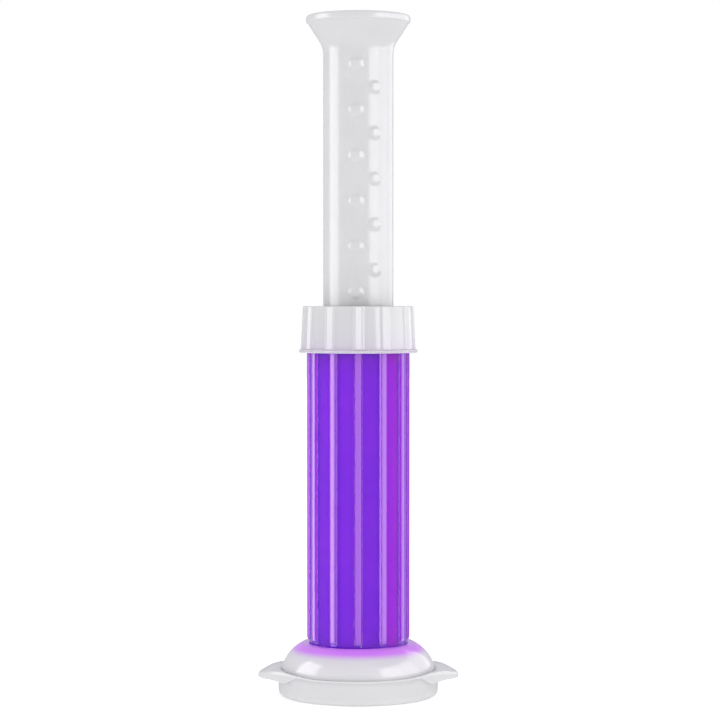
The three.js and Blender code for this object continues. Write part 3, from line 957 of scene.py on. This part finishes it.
def make_cap():
    """Floor, fillet, wall, ledge and inside; on the ledge, radius = wall + share x reach(direction).

    Towards each ear's tip the ledge's top droops and the ledge gets thinner. A soft ridge runs by its edge.
    """
    angles = around(CAP_COLUMNS)
    reach_out = ear_reach(angles)
    ledge_z0 = cap_z1 - EAR_ROOT_DEPTH
    below = section([(0, 0), (cap_r, 0, CAP_FILLET), (cap_r, ledge_z0)], closed=False, steps=12)
    inside = section([
        (cap_r - CAP_WALL, cap_z1 - 0.1),
        (cap_r - CAP_WALL, CAP_FLOOR, 0.7),
        (0, CAP_FLOOR),
    ], closed=False)
    out = np.linspace(0, LEDGE_END, LEDGE_ROWS)
    turn_over = np.radians(np.linspace(-80, 80, 7))
    edge = EDGE_CENTRE + (1 - EDGE_CENTRE) * np.cos(turn_over)
    share = column(np.r_[out, edge, out[::-1]])
    side = column(np.r_[-np.ones(LEDGE_ROWS), np.sin(turn_over), np.ones(LEDGE_ROWS)])
    ledge_r = cap_r + share * reach_out
    far = smooth((np.abs(ledge_r * np.sin(angles)) - EAR_FROM) / (ear_tip - EAR_FROM))
    depth = EAR_ROOT_DEPTH + (EAR_TIP_DEPTH - EAR_ROOT_DEPTH) * far
    depth = RIM_DEPTH + (depth - RIM_DEPTH) * smooth((reach_out - 0.1) / EAR_BLEND)
    rise = EAR_RISE * smooth((RISE_SPAN - ear_turn(angles)) / RISE_BLEND)
    from_edge = (1 - share) * reach_out
    ridge = EAR_RIDGE * smooth(1 - np.abs(from_edge - RIDGE_FROM_EDGE) / RIDGE_WIDTH)
    ridge = ridge * smooth(reach_out / 1.5 - 0.2)
    top = cap_z1 + rise - EAR_DROOP * far**2 + np.where(side > 0, ridge, 0)
    ledge_z = top - depth * (1 - side) / 2
    all_round = np.ones(CAP_COLUMNS)
    r = np.r_[below[:, :1] * all_round, ledge_r, inside[:, :1] * all_round]
    inner_z = inside[:, 1:] + rise * (inside[:, 1:] > cap_z1 - 1)
    z = np.r_[below[:, 1:] * all_round, ledge_z, inner_z]
    return skin("cap_skin", r, z, angles, poles=True)


cap = make_cap()


# %% [markdown]
# The cap is moulded in a softer plastic than the head. It could share the head's finish, but the two lie
# close together and would look like one piece, so the cap is a little less glossy and has more grain.

# %% Cap finish
cap_white = plastic("cap_white", (0.70, 0.70, 0.71), 0.22, grain=0.03)[0]
finish(cap, cap_white, "cap", "cap_white", "cap")


# %% [markdown]
# ## Piston
# The soft piston sits on the rod's lower end and pushes the gel. It shows through the clear barrel once it
# moves. A plain disc would do for that, but its two thin wiper lips and the waist between them are what one
# sees, so they are in its section. It is rubbery: nearly matt.

# %% Piston
WAIST = 0.5
WIPER = 1.3
PISTON_FLOOR = 2.2
CUP_FIT = 0.15
waist_r = piston_r - WAIST
cup_r = rod_r + CUP_FIT
piston_rows = section([
    (0, piston_z0 + 0.3),
    (6.0, piston_z0 + 0.3, 2.0),
    (7.5, piston_z0, 1.0),
    (waist_r, piston_z0, 0.4),
    (piston_r, piston_z0 + WIPER / 2, 0.15),
    (piston_r, piston_z0 + WIPER, 0.15),
    (waist_r, piston_z0 + 2 * WIPER, 0.5),
    (waist_r, piston_z1 - 2 * WIPER, 0.5),
    (piston_r, piston_z1 - WIPER, 0.15),
    (piston_r, piston_z1, 0.2),
    (cup_r, piston_z1, 0.2),
    (cup_r, piston_z0 + PISTON_FLOOR, 0.3),
    (0, piston_z0 + PISTON_FLOOR),
], closed=False)
piston = turned("piston_skin", piston_rows, poles=True)
piston_soft = plastic("piston_soft", (0.68, 0.68, 0.66), 0.42, grain=0.05)[0]
finish(piston, piston_soft, "plunger", "piston_soft", "piston")


# %% [markdown]
# ## Petal nozzle
# This plate closes the barrel's foot, and its flower-shaped hole gives the pressed gel its form. The hole
# could be cut with a Boolean, which leaves untidy faces. It is the turned plate again, whose innermost edge
# follows a flower: the radius changes with direction there, and not at all at the snap ring.

# %% Petal nozzle
PETALS = 6
PETAL_IN = 6.0
PETAL_OUT = 11.5
NOZZLE_COLUMNS = 360
RING_FIT = 0.1
RING_WALL = 1.3
RING_HEIGHT = 2.0
ring_in = socket_out + RING_FIT
ring_out = ring_in + RING_WALL


def make_nozzle():
    """The hole's edge is a flower: radius = inner + (outer - inner) |cos(petals / 2 x direction)|."""
    ring_z0 = plate_z1 - RING_HEIGHT
    rows = section([
        (PETAL_OUT, ring_z0, 0.3),
        (PETAL_OUT, plate_z0, 0.3),
        (plate_r, plate_z0, 0.3),
        (plate_r, ring_z0, 0.3),
        (ring_out, ring_z0, 0.3),
        (ring_out, plate_z1, 0.3),
        (ring_in, plate_z1, 0.3),
        (ring_in, ring_z0, 0.1),
    ])
    angles = around(NOZZLE_COLUMNS)
    flower = PETAL_IN + (PETAL_OUT - PETAL_IN) * np.abs(np.cos(PETALS / 2 * (angles + math.pi / 2)))
    r = column(rows[:, 0])
    pull = np.clip((ring_in - r) / (ring_in - PETAL_OUT), 0, 1)
    return skin("petal_nozzle_skin", r + (flower - PETAL_OUT) * pull, column(rows[:, 1]), angles)


nozzle = make_nozzle()
nozzle_white = plastic("nozzle_white", (0.74, 0.74, 0.75), 0.3, grain=0.04)[0]
finish(nozzle, nozzle_white, "barrel", "nozzle_white", "petal_nozzle")


# %% [markdown]
# ## Cap liner
# A thin disc of foam on the cap's floor keeps the gel from drying out. Its own pores are too small to
# model, so a coarse grain in the bump and a cloudy colour stand for them.

# %% Cap liner
liner_rows = section([
    (0, liner_z0),
    (liner_r, liner_z0, 0.15),
    (liner_r, liner_z1, 0.15),
    (0, liner_z1),
], closed=False)
liner = turned("cap_liner_skin", liner_rows, poles=True)
liner_foam = plastic("liner_foam", (0.75, 0.75, 0.73), 0.7, grain=0.3, clouding=0.08)[0]
finish(liner, liner_foam, "cap", "liner_foam", "cap_liner")
